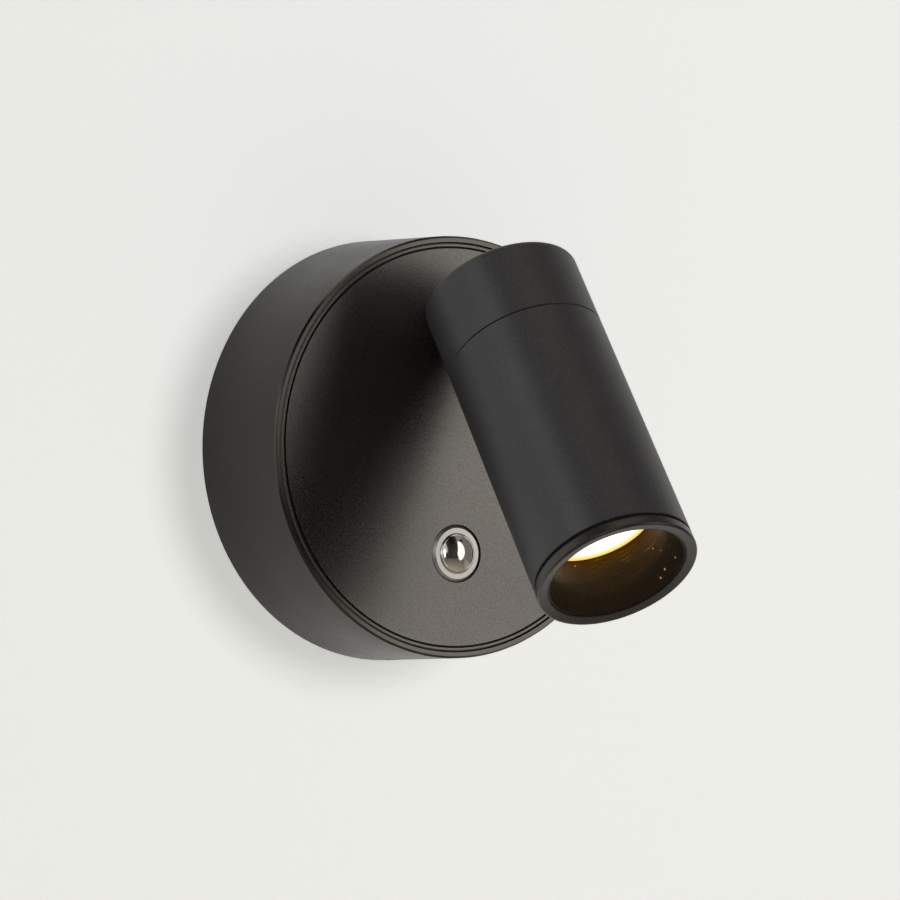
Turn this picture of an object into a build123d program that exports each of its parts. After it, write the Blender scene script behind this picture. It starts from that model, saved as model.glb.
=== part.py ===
"""Wall reading lamp: a round drum with a push button, and a spot head that turns and tilts on a hidden arm.

Sizes are in millimetres. The origin is the centre of the drum's back, on the wall.
Z is up, X runs to the right, and the lamp stands out from the wall towards -Y.
"""

import os
from math import radians, sin, sqrt

from build123d import *

os.makedirs("parts", exist_ok=True)

# Clearances
running_fit = 0.06  # radial, a shaft in its bearing
slide_fit = 0.05  # radial, a piece slid into another, or a screw in its hole
slip_gap = 0.05  # between flat faces that slide on each other
arm_gap = 0.5  # round the arm in the head's slot
stop_gap = 0.3  # between the swivel stops at the end of the turn

# Screw proportions, each times the thread's diameter, and the bevel of every head
head_width = 1.75
head_tall = 0.6
socket_flats = 0.65
socket_deep = 0.35
screw_bevel = 0.25

# Rest pose and travel
rest_tilt = 53.9  # degrees, the head's axis below straight out
pan_limit = 165.0  # degrees each way
button_travel = 1.4

# Drum
drum_dia = 100.0
drum_depth = 32.0
drum_wall = 2.0
drum_bevel = 0.5
lip_wall = 1.4
ledge_width = 5.5
ledge_thick = 3.0
side_hole_dia = 5.2
side_hole_out = 6.9  # from the wall
side_head_gap = 0.15
side_head_sunk = 0.7

# Front plate
plate_thick = 3.0
plate_gap = 0.3
plate_edge = 0.25
groove_inset = 1.0
groove_width = 0.5
groove_depth = 0.6
plate_screw_dia = 2.5
plate_screw_count = 4
plate_thread = 2.0

# Wall plate
mount_thick = 1.5
mount_inset = 4.0  # from the drum's inside
ear_width = 12.0
ear_height = 11.0
ear_gap = 0.4
ear_round = 3.0
bend_radius = 1.0
wall_screw_spacing = 64.0
wall_slot_width = 4.5
wall_slot_length = 12.0
side_screw_dia = 3.0
side_screw_length = 7.0
grommet_bore = 9.0
grommet_wall = 2.0
grommet_lip = 1.5
grommet_lip_thick = 1.5
earth_screw_dia = 4.0
earth_inset = 22.0  # from the plate's edge
earth_below = 10.0  # from the terminal block

# Terminal block and driver, both on the wall plate
block_inset = 19.0  # from the plate's edge to the block's middle
block_length = 18.0
pole_count = 3
pole_pitch = 10.0
block_base = 5.0
barrel_radius = 3.3
sleeve_bore = 3.0
sleeve_wall = 0.7
terminal_screw_dia = 3.0
terminal_screw_spread = 9.0
terminal_slot = 0.6
terminal_slot_deep = 0.6
block_screw_dia = 2.5
block_floor = 2.0  # under the screw heads
driver_inset = 19.5  # from the plate's edge to the driver's middle
driver_width = 22.0
driver_length = 40.0
driver_height = 18.0
driver_round = 2.5
driver_edge = 1.2
foot_width = 12.0
foot_length = 6.0
foot_thick = 2.0
driver_screw_dia = 3.0

# Leads
lead_dia = 1.4
lead_straight = 1.5  # outside a terminal, before the lead starts to curve
lead_slack = 9.0  # how strongly a curve follows its straight ends
lead_aside = 4.0  # from the driver's middle to the switched lead
lead_up = 4.0  # from the driver's back to the middle of the mains leads
lamp_lead_dia = 2.2
lamp_lead_up = 8.5  # from the driver's back to the middle of the lamp lead

# Push button
button_inset = 24.8  # from the drum's side to the button's centre
button_aside = 0.9  # to the right of the drum's centre
barrel_dia = 12.0
barrel_length = 14.0
barrel_wall = 0.7
flange_over = 0.8  # beyond the barrel
flange_bevel = 0.6
flange_proud = 0.3  # of the front plate, the rest is let into it
flange_recess = 1.0
recess_gap = 0.12
button_seal_thick = 0.4
dome_rise = 1.5
dome_edge = 0.25  # how far the dome's edge stands above the flange
dome_lip = 0.5
dome_lip_thick = 1.0
dome_depth = 5.0
rod_dia = 2.8
rod_length = 7.0
button_nut_wall = 1.0
button_nut_thick = 2.5
rod_in = 1.0  # how far the rod reaches into the switch
switch_base_thick = 3.0
blade_width = 2.8
blade_thick = 0.8
blade_length = 5.0
blade_spread = 5.0
blade_eye = 1.2

# Arm and swivel
hinge_inset = 19.8  # from the drum's side to the swivel's axis
hinge_reach = 25.0  # from the front plate to the tilt axis
collar_dia = 13.6
collar_thick = 2.0
tongue_thick = 6.0
tongue_height = 9.0
eye_dia = 10.0
arm_bevel = 0.5
stem_dia = 10.0
stem_tail = 3.0
stem_flat = 0.8
lead_bore = 3.0
lead_exit = 5.2  # from the tilt axis back to the lead hole
bush_wall = 1.0
bush_flange = 0.5
slip_thick = 0.5
swivel_washer_dia = 16.0
stop_thick = 1.0
stop_circle = 9.6
stop_pin_dia = 2.2
stop_pin_seat = 2.0
stop_overlap = 0.2
stem_nut_wall = 2.0
stem_nut_thick = 4.0
spring_thick = 0.6
spring_cone = 0.4

# Tilt hinge
hinge_dia = 4.0
hinge_washer_thick = 0.5
hinge_washer_dia = 9.6
ear_thick = 2.5
yoke_ear_width = 11.0
yoke_base_thick = 2.2
yoke_span = 26.0
yoke_depth = 15.0
yoke_corner = 3.5
yoke_screw_dia = 3.0
yoke_screw_spread = 20.0
hinge_nut_flats = 7.0
hinge_nut_thick = 3.2
hinge_tail = 0.6

# Head
head_dia = 39.4  # at the mouth
head_taper = 0.85  # of the radius, from the mouth back to the cap's end
head_length = 84.5
head_wall = 2.05  # at the mouth
cap_length = 19.0
cap_setback = 8.0  # from the cap's end to the tilt axis
cap_end_wall = 2.0
cap_edge = 1.1
cap_screw_dia = 3.0
cap_screw_length = 3.6
cap_screw_sunk = 0.3
seam_gap = 0.16
seam_bevel = 0.15

# Heat sink
sink_recess = 9.5  # from the tilt axis to the face that carries the yoke
sink_rim_height = 3.5
sink_rim_wall = 2.2
sink_disc = 4.0
sink_core_dia = 15.0
fin_count = 16
fin_thick = 1.3
yoke_thread = 3.5

# Light
lens_depth = 15.0  # from the mouth to the lens
lens_flange = 1.5
lens_edge_gap = 1.6
lens_lap = 1.8
lens_height = 12.0
lens_back_dia = 11.0
pocket_depth = 3.0
pocket_taper = 0.8
lens_side_gap = 0.4
board_dia = 20.0
board_thick = 1.6
board_screw_dia = 2.0
board_screw_spread = 15.0
board_thread = 3.0
chip_width = 9.4
chip_thick = 0.6
emitter_dia = 8.0
emitter_thick = 0.4
holder_gap = 0.5

# Mouth
bezel_length = 2.5
bezel_face = 2.8
bezel_dish = 0.6  # how far the face falls back towards the opening
bezel_bevel = 0.3
bezel_groove = 0.95
bezel_seal_sunk = 0.8
skirt_length = 5.0
skirt_wall = 0.6
skirt_gap = 0.3
baffle_step = 0.35  # how far the baffle's mouth is set in from the bezel's opening
baffle_sunk = 0.25  # how far the baffle's mouth stops behind the bezel's inner edge

# Places that follow from the sizes above
drum_radius = drum_dia / 2
drum_inside = drum_radius - drum_wall
lip_inside = drum_radius - lip_wall
ledge_inside = drum_inside - ledge_width
plate_back = drum_depth - plate_thick
ledge_back = plate_back - ledge_thick
hinge_up = drum_radius - hinge_inset
button_up = button_inset - drum_radius
hinge_out = drum_depth + hinge_reach

wall_frame = Rot(90, 0, 0)  # X right, Y up, Z out of the wall
button_place = Pos(button_aside, button_up, 0)
button_frame = wall_frame * button_place
arm_frame = wall_frame * Pos(0, hinge_up, 0)
head_frame = arm_frame * Pos(0, 0, hinge_out) * Rot(rest_tilt, 0, 0)  # Z towards the mouth


# Shapes used more than once


def bar(radius, low, high):
    """Round bar along Z."""
    return Pos(0, 0, low) * Cylinder(radius, high - low, align=(Align.CENTER, Align.CENTER, Align.MIN))


def tube(outer, inner, low, high):
    """Round tube along Z."""
    return bar(outer, low, high) - bar(inner, low, high)


def turned(*corners):
    """Solid turned about Z from the (radius, height) corners of its half section."""
    return revolve(Plane.XZ * make_face(Polyline(*corners, close=True)), Axis.Z)


def hexagon(flats, low, high):
    """Six-sided bar along Z, measured across its flats."""
    outline = RegularPolygon(flats / 2, 6, major_radius=False)
    return Pos(0, 0, low) * extrude(outline, high - low)


def nut(flats, bore_radius, low, high):
    """Six-sided nut along Z with its corners turned off."""
    corner_cut = (flats / sqrt(3) - flats / 2) / 2
    edge = flats / 2 + corner_cut
    blank = turned(
        (0, low), (edge - corner_cut, low), (edge + corner_cut, low + corner_cut),
        (edge + corner_cut, high - corner_cut), (edge - corner_cut, high), (0, high),
    )
    return (hexagon(flats, low, high) & blank) - bar(bore_radius, low, high)


def disc_spring(inner, outer, low):
    """Coned spring washer that stands on its outer edge."""
    return turned(
        (inner, low + spring_cone), (outer, low),
        (outer, low + spring_thick), (inner, low + spring_cone + spring_thick),
    )


def headed_screw(dia, length, head_radius, head_height):
    """Screw along Z: the head's underside is at 0, the head is above it and has a six-sided socket."""
    head = turned(
        (0, 0), (head_radius, 0), (head_radius, head_height - screw_bevel),
        (head_radius - screw_bevel, head_height), (0, head_height),
    )
    shank = bar(dia / 2, -length, 0)
    return head + shank - hexagon(dia * socket_flats, head_height - dia * socket_deep, head_height)


def screw(dia, length):
    """Low-headed screw with a head of the usual proportions."""
    return headed_screw(dia, length, dia * head_width / 2, dia * head_tall)


def tongue_shape(offset, width, reach, end_radius, thick):
    """Flat bar with a round end about the X axis, running along Z by its reach and set off along X."""
    strip = Rectangle(width, abs(reach), align=(Align.CENTER, Align.MIN if reach > 0 else Align.MAX))
    outline = strip + Circle(end_radius)
    return Pos(offset, 0, 0) * extrude(Plane.YZ * outline, thick / 2, both=True)


def lead(dia, start, leaving, arriving, end):
    """Insulated lead: straight out of one terminal, a loose curve, and straight into the next."""
    out_of = Line(start, leaving)
    into = Line(arriving, end)
    curve = Bezier(leaving, leaving + (out_of % 1) * lead_slack, arriving - (into % 0) * lead_slack, arriving)
    route = Wire([out_of, curve, into])
    return sweep(Plane(start, z_dir=out_of % 0) * Circle(dia / 2), route)


def save(name, frame, *solids):
    """Writes one named piece, or one group of like pieces, placed in the lamp."""
    placed = [frame * solid for solid in solids]
    export_step(placed[0] if len(placed) == 1 else Compound(placed), f"parts/{name}.step")


# Drum, with the ledge that the front plate rests on
drum = turned(
    (drum_inside, 0), (drum_radius, 0), (drum_radius, drum_depth - drum_bevel),
    (drum_radius - drum_bevel, drum_depth), (lip_inside, drum_depth), (lip_inside, plate_back),
    (ledge_inside, plate_back), (ledge_inside, ledge_back), (drum_inside, ledge_back),
)
plate_screw_circle = (ledge_inside + drum_inside) / 2
first_screw = 180 / plate_screw_count
plate_screw_places = PolarLocations(plate_screw_circle, plate_screw_count, start_angle=first_screw)
plate_screw_hole = bar(plate_screw_dia / 2 + slide_fit, ledge_back, plate_back + plate_thread)
side_hole = Pos(0, 0, side_hole_out) * Rot(90, 0, 0) * Cylinder(side_hole_dia / 2, drum_dia + drum_wall)
drum -= [place * plate_screw_hole for place in plate_screw_places]
drum -= side_hole
save("base_drum", wall_frame, drum)

# Front plate with its groove and holes
plate_radius = lip_inside - plate_gap
groove_outer = plate_radius - groove_inset + groove_width / 2
groove_inner = groove_outer - groove_width
plate = turned(
    (0, plate_back), (plate_radius, plate_back), (plate_radius, drum_depth - plate_edge),
    (plate_radius - plate_edge, drum_depth), (groove_outer, drum_depth),
    (groove_outer, drum_depth - groove_depth), (groove_inner, drum_depth - groove_depth),
    (groove_inner, drum_depth), (0, drum_depth),
)
stem_radius = stem_dia / 2
bush_radius = stem_radius + running_fit + bush_wall
barrel_hole = barrel_dia / 2 + slide_fit
stop_place = Pos(0, hinge_up - stop_circle, 0)
plate -= Pos(0, hinge_up, 0) * bar(bush_radius + slide_fit, plate_back, drum_depth)
flange_floor = drum_depth - flange_recess
flange_radius = barrel_dia / 2 + flange_over
plate -= button_place * bar(barrel_hole, plate_back, drum_depth)
plate -= button_place * bar(flange_radius + recess_gap, flange_floor, drum_depth)
plate -= stop_place * bar(stop_pin_dia / 2 + slide_fit, plate_back, plate_back + stop_pin_seat)
plate -= [place * plate_screw_hole for place in plate_screw_places]
save("front_plate", wall_frame, plate)

plate_screw = screw(plate_screw_dia, ledge_thick + plate_thread)
save(
    "plate_screws", wall_frame,
    *[place * Pos(0, 0, ledge_back) * Rot(180, 0, 0) * plate_screw for place in plate_screw_places],
)

# Wall plate: a disc with two bent ears, slotted for the wall screws
mount_radius = drum_inside - mount_inset
ear_out = sqrt(drum_inside**2 - (ear_width / 2) ** 2) - ear_gap
mount_plate = bar(mount_radius, 0, mount_thick)
ear_start = mount_radius - ear_width
ear_section = make_face(
    Polyline(
        (ear_start, 0), (ear_out, 0), (ear_out, ear_height), (ear_out - mount_thick, ear_height),
        (ear_out - mount_thick, mount_thick), (ear_start, mount_thick), close=True,
    )
)
outer_corner = ear_section.vertices().sort_by_distance((ear_out, 0))[0]
ear_section = fillet(outer_corner, bend_radius + mount_thick)
inner_corner = ear_section.vertices().sort_by_distance((ear_out - mount_thick, mount_thick))[0]
ear_section = fillet(inner_corner, bend_radius)
ear = extrude(Plane.YZ * ear_section, ear_width / 2, both=True)
ear_tips = ear.edges().filter_by(Axis.Y).group_by(Axis.Z)[-1]
ear = fillet(ear_tips, ear_round)
mount_plate += [ear, Rot(0, 0, 180) * ear]
mount_plate -= Pos(0, 0, side_hole_out) * Rot(90, 0, 0) * Cylinder(side_screw_dia / 2 + slide_fit, drum_dia)

wall_slot = extrude(SlotOverall(wall_slot_length, wall_slot_width, rotation=90), mount_thick)
grommet_radius = grommet_bore / 2 + grommet_wall
mount_plate -= [Pos(0, side * wall_screw_spacing / 2, 0) * wall_slot for side in (1, -1)]
mount_plate -= bar(grommet_radius, 0, mount_thick)
block_right = block_inset - mount_radius
block_width = pole_count * pole_pitch
driver_right = mount_radius - driver_inset
earth_place = Pos(earth_inset - mount_radius, -block_width / 2 - earth_below, mount_thick)
mount_plate -= earth_place * bar(earth_screw_dia / 2 + slide_fit, -mount_thick, 0)

driver_screw_up = driver_length / 2 + foot_length / 2
driver_screw_places = [Pos(driver_right, side * driver_screw_up, mount_thick) for side in (1, -1)]
driver_screw_hole = bar(driver_screw_dia / 2 + slide_fit, -mount_thick, 0)
mount_plate -= [place * driver_screw_hole for place in driver_screw_places]
block_screw_places = [Pos(block_right, side * pole_pitch / 2, mount_thick) for side in (1, -1)]
block_screw_hole = bar(block_screw_dia / 2 + slide_fit, -mount_thick, 0)
mount_plate -= [place * block_screw_hole for place in block_screw_places]
save("wall_plate", wall_frame, mount_plate)

grommet_edge = grommet_radius + grommet_lip
grommet_top = mount_thick + grommet_lip_thick
grommet = turned(
    (grommet_bore / 2, 0), (grommet_radius, 0), (grommet_radius, mount_thick),
    (grommet_edge, mount_thick), (grommet_edge, mount_thick + grommet_lip_thick / 2),
    (grommet_radius, grommet_top), (grommet_bore / 2, grommet_top),
)
save("cable_grommet", wall_frame, grommet)

side_head = drum_radius - side_head_sunk - ear_out
side_screw = headed_screw(side_screw_dia, side_screw_length, side_hole_dia / 2 - side_head_gap, side_head)
save(
    "side_screws", wall_frame,
    *[Pos(0, side * ear_out, side_hole_out) * Rot(-90 * side, 0, 0) * side_screw for side in (1, -1)],
)
earth_screw = screw(earth_screw_dia, mount_thick)
save("earth_screw", wall_frame, earth_place * earth_screw)

# Terminal block: one moulded row of round poles, each with a brass sleeve and two screws
pole_ups = [(index - (pole_count - 1) / 2) * pole_pitch for index in range(pole_count)]
sleeve_radius = sleeve_bore / 2 + sleeve_wall
pole_axis = mount_thick + block_base
block = Box(block_length, block_width, block_base, align=(Align.CENTER, Align.CENTER, Align.MIN))
block = Pos(0, 0, mount_thick) * block
along_pole = Rot(0, 90, 0)
pole_places = [Pos(0, up, pole_axis) * along_pole for up in pole_ups]
pole_top = pole_axis + barrel_radius
well_places = [
    Pos(side * terminal_screw_spread / 2, up, pole_axis) for up in pole_ups for side in (1, -1)
]
well_radius = terminal_screw_dia / 2 + slide_fit
block += [place * Cylinder(barrel_radius, block_length) for place in pole_places]
block -= [place * Cylinder(sleeve_radius + slide_fit, block_length) for place in pole_places]
block -= [place * bar(well_radius, 0, barrel_radius) for place in well_places]
block_well = bar(block_screw_dia / 2 + slide_fit, 0, block_floor)
block_well += bar(block_screw_dia * head_width / 2 + slide_fit, block_floor, pole_top)
block -= [Pos(0, side * pole_pitch / 2, mount_thick) * block_well for side in (1, -1)]
save("terminal_block", wall_frame * Pos(block_right, 0, 0), block)

sleeve = tube(sleeve_radius, sleeve_bore / 2, -block_length / 2, block_length / 2)
sleeves = [place * sleeve for place in pole_places]
sleeve_wells = [place * bar(well_radius, 0, barrel_radius) for place in well_places]
sleeves = [piece - sleeve_wells for piece in sleeves]
save("terminal_sleeves", wall_frame * Pos(block_right, 0, 0), *sleeves)

blade_cut = Box(2 * terminal_screw_dia, terminal_slot, 2 * terminal_slot_deep)
terminal_screw = bar(terminal_screw_dia / 2, lead_dia / 2 + slide_fit, barrel_radius)
terminal_screw -= Pos(0, 0, barrel_radius) * blade_cut
save(
    "terminal_screws", wall_frame * Pos(block_right, 0, 0),
    *[place * terminal_screw for place in well_places],
)
block_screw = Pos(0, 0, block_floor) * screw(block_screw_dia, block_floor + mount_thick)
save("block_screws", wall_frame, *[place * block_screw for place in block_screw_places])

# Driver: a potted box on two feet
driver_box = extrude(RectangleRounded(driver_width, driver_length, driver_round), driver_height)
driver_box = fillet(driver_box.faces().sort_by(Axis.Z)[-1].edges(), driver_edge)
driver_feet = extrude(
    RectangleRounded(foot_width, driver_length + 2 * foot_length, foot_length / 2), foot_thick
)
driver_hole = bar(driver_screw_dia / 2 + slide_fit, 0, foot_thick)
driver = driver_box + driver_feet
driver -= [Pos(0, side * driver_screw_up, 0) * driver_hole for side in (1, -1)]
save("led_driver", wall_frame * Pos(driver_right, 0, mount_thick), driver)
driver_screw = Pos(0, 0, foot_thick) * screw(driver_screw_dia, foot_thick + mount_thick)
save("driver_screws", wall_frame, *[place * driver_screw for place in driver_screw_places])

# Push button: flanged barrel through the front plate, the flange let into it, held by a nut
flange_low = flange_floor + button_seal_thick
flange_top = drum_depth + flange_proud
barrel_low = drum_depth - barrel_length
barrel_outside = barrel_dia / 2
lip_bore = barrel_outside - barrel_wall
dome_bore = lip_bore - dome_lip
dome_radius = dome_bore - running_fit
dome_rim = flange_top + dome_edge
dome_low = dome_rim - dome_depth
shoulder = dome_low + dome_lip_thick + slip_gap
button_body = turned(
    (dome_bore, flange_top), (flange_radius - flange_bevel, flange_top),
    (flange_radius, drum_depth), (flange_radius, flange_low),
    (barrel_outside, flange_low), (barrel_outside, barrel_low), (lip_bore, barrel_low),
    (lip_bore, shoulder), (dome_bore, shoulder),
)
save("button_body", button_frame, button_body)
button_seal = tube(flange_radius - button_seal_thick, barrel_hole, flange_floor, flange_low)
save("button_seal", button_frame, button_seal)
button_nut_flats = barrel_dia + 2 * button_nut_wall
button_nut = nut(button_nut_flats, barrel_hole, plate_back - button_nut_thick, plate_back)
save("button_nut", button_frame, button_nut)

# Domed cap of the button, with the lip that keeps it in and the rod that works the switch
dome_sphere = (dome_radius**2 + dome_rise**2) / (2 * dome_rise)
crown = bar(dome_radius, dome_rim, dome_rim + dome_rise)
crown &= Pos(0, 0, dome_rim + dome_rise - dome_sphere) * Sphere(dome_sphere)
dome = crown + bar(dome_radius, dome_low, dome_rim)
dome += bar(dome_radius + dome_lip, dome_low, dome_low + dome_lip_thick)
rod_end = dome_low - rod_length
dome += bar(rod_dia / 2, rod_end, dome_low)
save("button_dome", button_frame, dome)

# Switch, plugged into the back of the barrel
plug_top = rod_end + rod_in
rod_room = rod_end - button_travel - stop_gap
switch_low = barrel_low - switch_base_thick
switch_base = bar(barrel_outside, switch_low, barrel_low) + bar(lip_bore - slide_fit, barrel_low, plug_top)
switch_base -= bar(rod_dia / 2 + stop_gap, rod_room, plug_top)
save("switch_base", button_frame, switch_base)
blade = Box(blade_thick, blade_width, blade_length, align=(Align.CENTER, Align.CENTER, Align.MAX))
blade -= Pos(0, 0, blade_eye - blade_length) * Rot(0, 90, 0) * Cylinder(blade_eye / 2, blade_thick)
save(
    "switch_terminals", button_frame,
    *[Pos(0, side * blade_spread / 2, switch_low) * blade for side in (1, -1)],
)

# Bearing of the swivel in the front plate
stem_bore = stem_radius + running_fit
bush_top = drum_depth + bush_flange
bush = tube(bush_radius, stem_bore, plate_back, drum_depth)
bush += tube(collar_dia / 2, stem_bore, drum_depth, bush_top)
save("stem_bush", arm_frame, bush)
slip_low = plate_back - slip_thick
swivel_washer = swivel_washer_dia / 2
save("slip_washer", arm_frame, tube(swivel_washer, stem_bore, slip_low, plate_back))

# Washer keyed to the stem: its tab meets the pin at either end of the turn
stop_high = slip_low - slip_gap
stop_low = stop_high - stop_thick
stop_pin_radius = stop_pin_dia / 2
tab_half = stop_circle * sin(radians(180 - pan_limit)) - stop_pin_radius - stop_gap
tab_reach = stop_circle + stop_pin_radius + stop_overlap
flat_side = stem_radius - stem_flat
tab = Box(2 * tab_half, tab_reach, stop_thick, align=(Align.CENTER, Align.MIN, Align.MIN))
tab = Pos(0, 0, stop_low) * tab
stop_hole = bar(stem_radius + slide_fit, stop_low, stop_high)
key = Box(stem_dia, stem_dia, drum_depth, align=(Align.MIN, Align.CENTER, Align.MAX))
stop_hole -= Pos(flat_side + slide_fit, 0, drum_depth) * key
stop_washer = (bar(swivel_washer, stop_low, stop_high) + tab) - stop_hole
save("stop_washer", arm_frame, stop_washer)
stop_pin_low = stop_low - stop_gap
save("stop_pin", wall_frame * stop_place, bar(stop_pin_radius, stop_pin_low, plate_back + stop_pin_seat))

spring_height = spring_thick + spring_cone
spring_low = stop_low - spring_height
stem_nut_low = spring_low - stem_nut_thick
save("stem_spring", arm_frame, disc_spring(stem_radius + slide_fit, swivel_washer, spring_low))
stem_nut_flats = stem_dia + 2 * stem_nut_wall
save("stem_nut", arm_frame, nut(stem_nut_flats, stem_radius + slide_fit, stem_nut_low, spring_low))

# Arm: stem, collar and flat tongue with the hinge eye, drilled for the leads
collar_low = bush_top + slip_gap
collar_high = collar_low + collar_thick
stem_end = stem_nut_low - stem_tail
arm = bar(stem_radius, stem_end, collar_low) - Pos(flat_side, 0, stop_high) * key
arm += turned(
    (0, collar_low), (collar_dia / 2, collar_low), (collar_dia / 2, collar_high - arm_bevel),
    (collar_dia / 2 - arm_bevel, collar_high), (0, collar_high),
)
tongue = tongue_shape(0, tongue_height, collar_low - hinge_out, eye_dia / 2, tongue_thick)
tongue_sides = tongue.faces().sort_by(Axis.X)
tongue = chamfer(tongue_sides[0].edges() + tongue_sides[-1].edges(), arm_bevel)
arm += Pos(0, 0, hinge_out) * tongue
lead_hole_end = hinge_out - lead_exit
arm -= bar(lead_bore / 2, stem_end, lead_hole_end)
arm -= Pos(0, 0, lead_hole_end) * Rot(90, 0, 0) * bar(lead_bore / 2, 0, eye_dia)
hinge_hole = Rot(0, 90, 0) * Cylinder(hinge_dia / 2 + running_fit, head_dia)
arm -= Pos(0, 0, hinge_out) * hinge_hole
save("swivel_arm", arm_frame, arm)

# Hinge inside the cap: yoke, bolt and friction washers
yoke_ear_in = tongue_thick / 2 + slip_gap + hinge_washer_thick
yoke_ear_out = yoke_ear_in + ear_thick
yoke_low = sink_recess - yoke_base_thick
yoke = extrude(RectangleRounded(yoke_span, yoke_depth, yoke_corner), yoke_base_thick)
yoke = Pos(0, 0, yoke_low) * yoke
yoke_ear_middle = yoke_ear_in + ear_thick / 2
yoke_ear = tongue_shape(yoke_ear_middle, yoke_ear_width, sink_recess, yoke_ear_width / 2, ear_thick)
yoke += [yoke_ear, mirror(yoke_ear, Plane.YZ)]
yoke_screw_places = [Pos(side * yoke_screw_spread / 2, 0, 0) for side in (1, -1)]
yoke_screw_hole = bar(yoke_screw_dia / 2 + slide_fit, yoke_low, sink_recess + yoke_thread)
yoke -= hinge_hole
yoke -= [place * yoke_screw_hole for place in yoke_screw_places]
yoke -= bar(lead_bore / 2, yoke_low, sink_recess)
save("hinge_yoke", head_frame, yoke)
yoke_screw = screw(yoke_screw_dia, yoke_base_thick + yoke_thread)
save(
    "yoke_screws", head_frame,
    *[place * Pos(0, 0, yoke_low) * Rot(180, 0, 0) * yoke_screw for place in yoke_screw_places],
)
hinge_washer = tube(hinge_washer_dia / 2, hinge_dia / 2 + slide_fit, 0, hinge_washer_thick)
save(
    "hinge_washers", head_frame,
    *[
        Pos(side * (yoke_ear_in - hinge_washer_thick), 0, 0) * Rot(0, 90 * side, 0) * hinge_washer
        for side in (1, -1)
    ],
)
bolt_length = 2 * yoke_ear_out + spring_height + hinge_nut_thick + hinge_tail
hinge_bolt = screw(hinge_dia, bolt_length)
save("hinge_bolt", head_frame, Pos(-yoke_ear_out, 0, 0) * Rot(0, -90, 0) * hinge_bolt)
bolt_end_frame = head_frame * Pos(yoke_ear_out, 0, 0) * Rot(0, 90, 0)
hinge_bolt_hole = hinge_dia / 2 + slide_fit
save("hinge_spring", bolt_end_frame, disc_spring(hinge_bolt_hole, hinge_washer_dia / 2, 0))
save(
    "hinge_nut", bolt_end_frame,
    nut(hinge_nut_flats, hinge_bolt_hole, spring_height, spring_height + hinge_nut_thick),
)

# Cap: closed end of the tapered head, slotted for the arm from its end face round to the wall side
head_radius = head_dia / 2
head_inside = head_radius - head_wall
cap_end = -cap_setback
seam = cap_end + cap_length
mouth = cap_end + head_length


def skin(along):
    """Outside radius of the tapered head at a distance along its axis."""
    return head_radius - head_taper * (mouth - along) / head_length


cap_low = seam - seam_gap / 2
cap_section = make_face(
    Polyline(
        (0, cap_end), (skin(cap_end), cap_end), (skin(cap_low - seam_bevel), cap_low - seam_bevel),
        (skin(cap_low) - seam_bevel, cap_low), (head_inside, cap_low),
        (head_inside, cap_end + cap_end_wall), (0, cap_end + cap_end_wall), close=True,
    )
)
end_corner = cap_section.vertices().sort_by_distance((skin(cap_end), cap_end))[0]
cap = revolve(Plane.XZ * fillet(end_corner, cap_edge), Axis.Z)
slot_reach = tongue_height / 2 + arm_gap
slot_cut = Box(
    tongue_thick + 2 * arm_gap, head_dia, head_dia, align=(Align.CENTER, Align.MAX, Align.MAX)
)
cap -= Pos(0, slot_reach, slot_reach) * slot_cut
cap_screw_z = (slot_reach + seam) / 2
cap_screw_frame = Pos(0, -skin(cap_screw_z) + cap_screw_sunk, cap_screw_z) * Rot(90, 0, 0)
cap_screw_hole = bar(cap_screw_dia / 2 + slide_fit, -cap_screw_length, head_wall)
cap -= cap_screw_frame * cap_screw_hole
save("head_cap", head_frame, cap)
cap_screw = bar(cap_screw_dia / 2, -cap_screw_length, 0) - hexagon(cap_screw_dia / 2, -cap_screw_dia / 2, 0)
save("cap_screw", head_frame * cap_screw_frame, cap_screw)

# Barrel of the head
bezel_low = mouth - bezel_length
tube_low = seam + seam_gap / 2
tube_high = bezel_low - bezel_groove
head_tube = turned(
    (head_inside, tube_low), (skin(tube_low) - seam_bevel, tube_low),
    (skin(tube_low + seam_bevel), tube_low + seam_bevel),
    (skin(tube_high - seam_bevel), tube_high - seam_bevel),
    (skin(tube_high) - seam_bevel, tube_high), (head_inside, tube_high),
)
save("head_tube", head_frame, head_tube)

# Heat sink: cupped end for the yoke, finned core and a flat seat for the light source
sink_radius = head_inside - slide_fit
lens_front = mouth - lens_depth
lens_seat = lens_front - lens_flange
lens_back = lens_front - lens_height
board_seat = lens_back - lens_side_gap - emitter_thick - chip_thick - board_thick
fins_low = sink_recess + sink_disc
fins_high = board_seat - sink_disc
sink = bar(sink_radius, sink_recess, fins_low) + bar(sink_radius, fins_high, board_seat)
sink += tube(sink_radius, sink_radius - sink_rim_wall, sink_recess - sink_rim_height, sink_recess)
fin = Box(sink_radius, fin_thick, fins_high - fins_low, align=(Align.MIN, Align.CENTER, Align.MIN))
fins = [Rot(0, 0, index * 360 / fin_count) * Pos(0, 0, fins_low) * fin for index in range(fin_count)]
finned = bar(sink_core_dia / 2, fins_low, fins_high) + fins
sink += finned & bar(sink_radius, fins_low, fins_high)
board_screw_places = [Pos(side * board_screw_spread / 2, 0, 0) for side in (1, -1)]
board_top = board_seat + board_thick
board_screw_hole = bar(board_screw_dia / 2 + slide_fit, board_seat - board_thread, board_top)
sink -= [place * yoke_screw_hole for place in yoke_screw_places]
sink -= [place * board_screw_hole for place in board_screw_places]
sink -= bar(lead_bore / 2, sink_recess, board_seat)
sink -= cap_screw_frame * cap_screw_hole
save("heat_sink", head_frame, sink)

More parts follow.
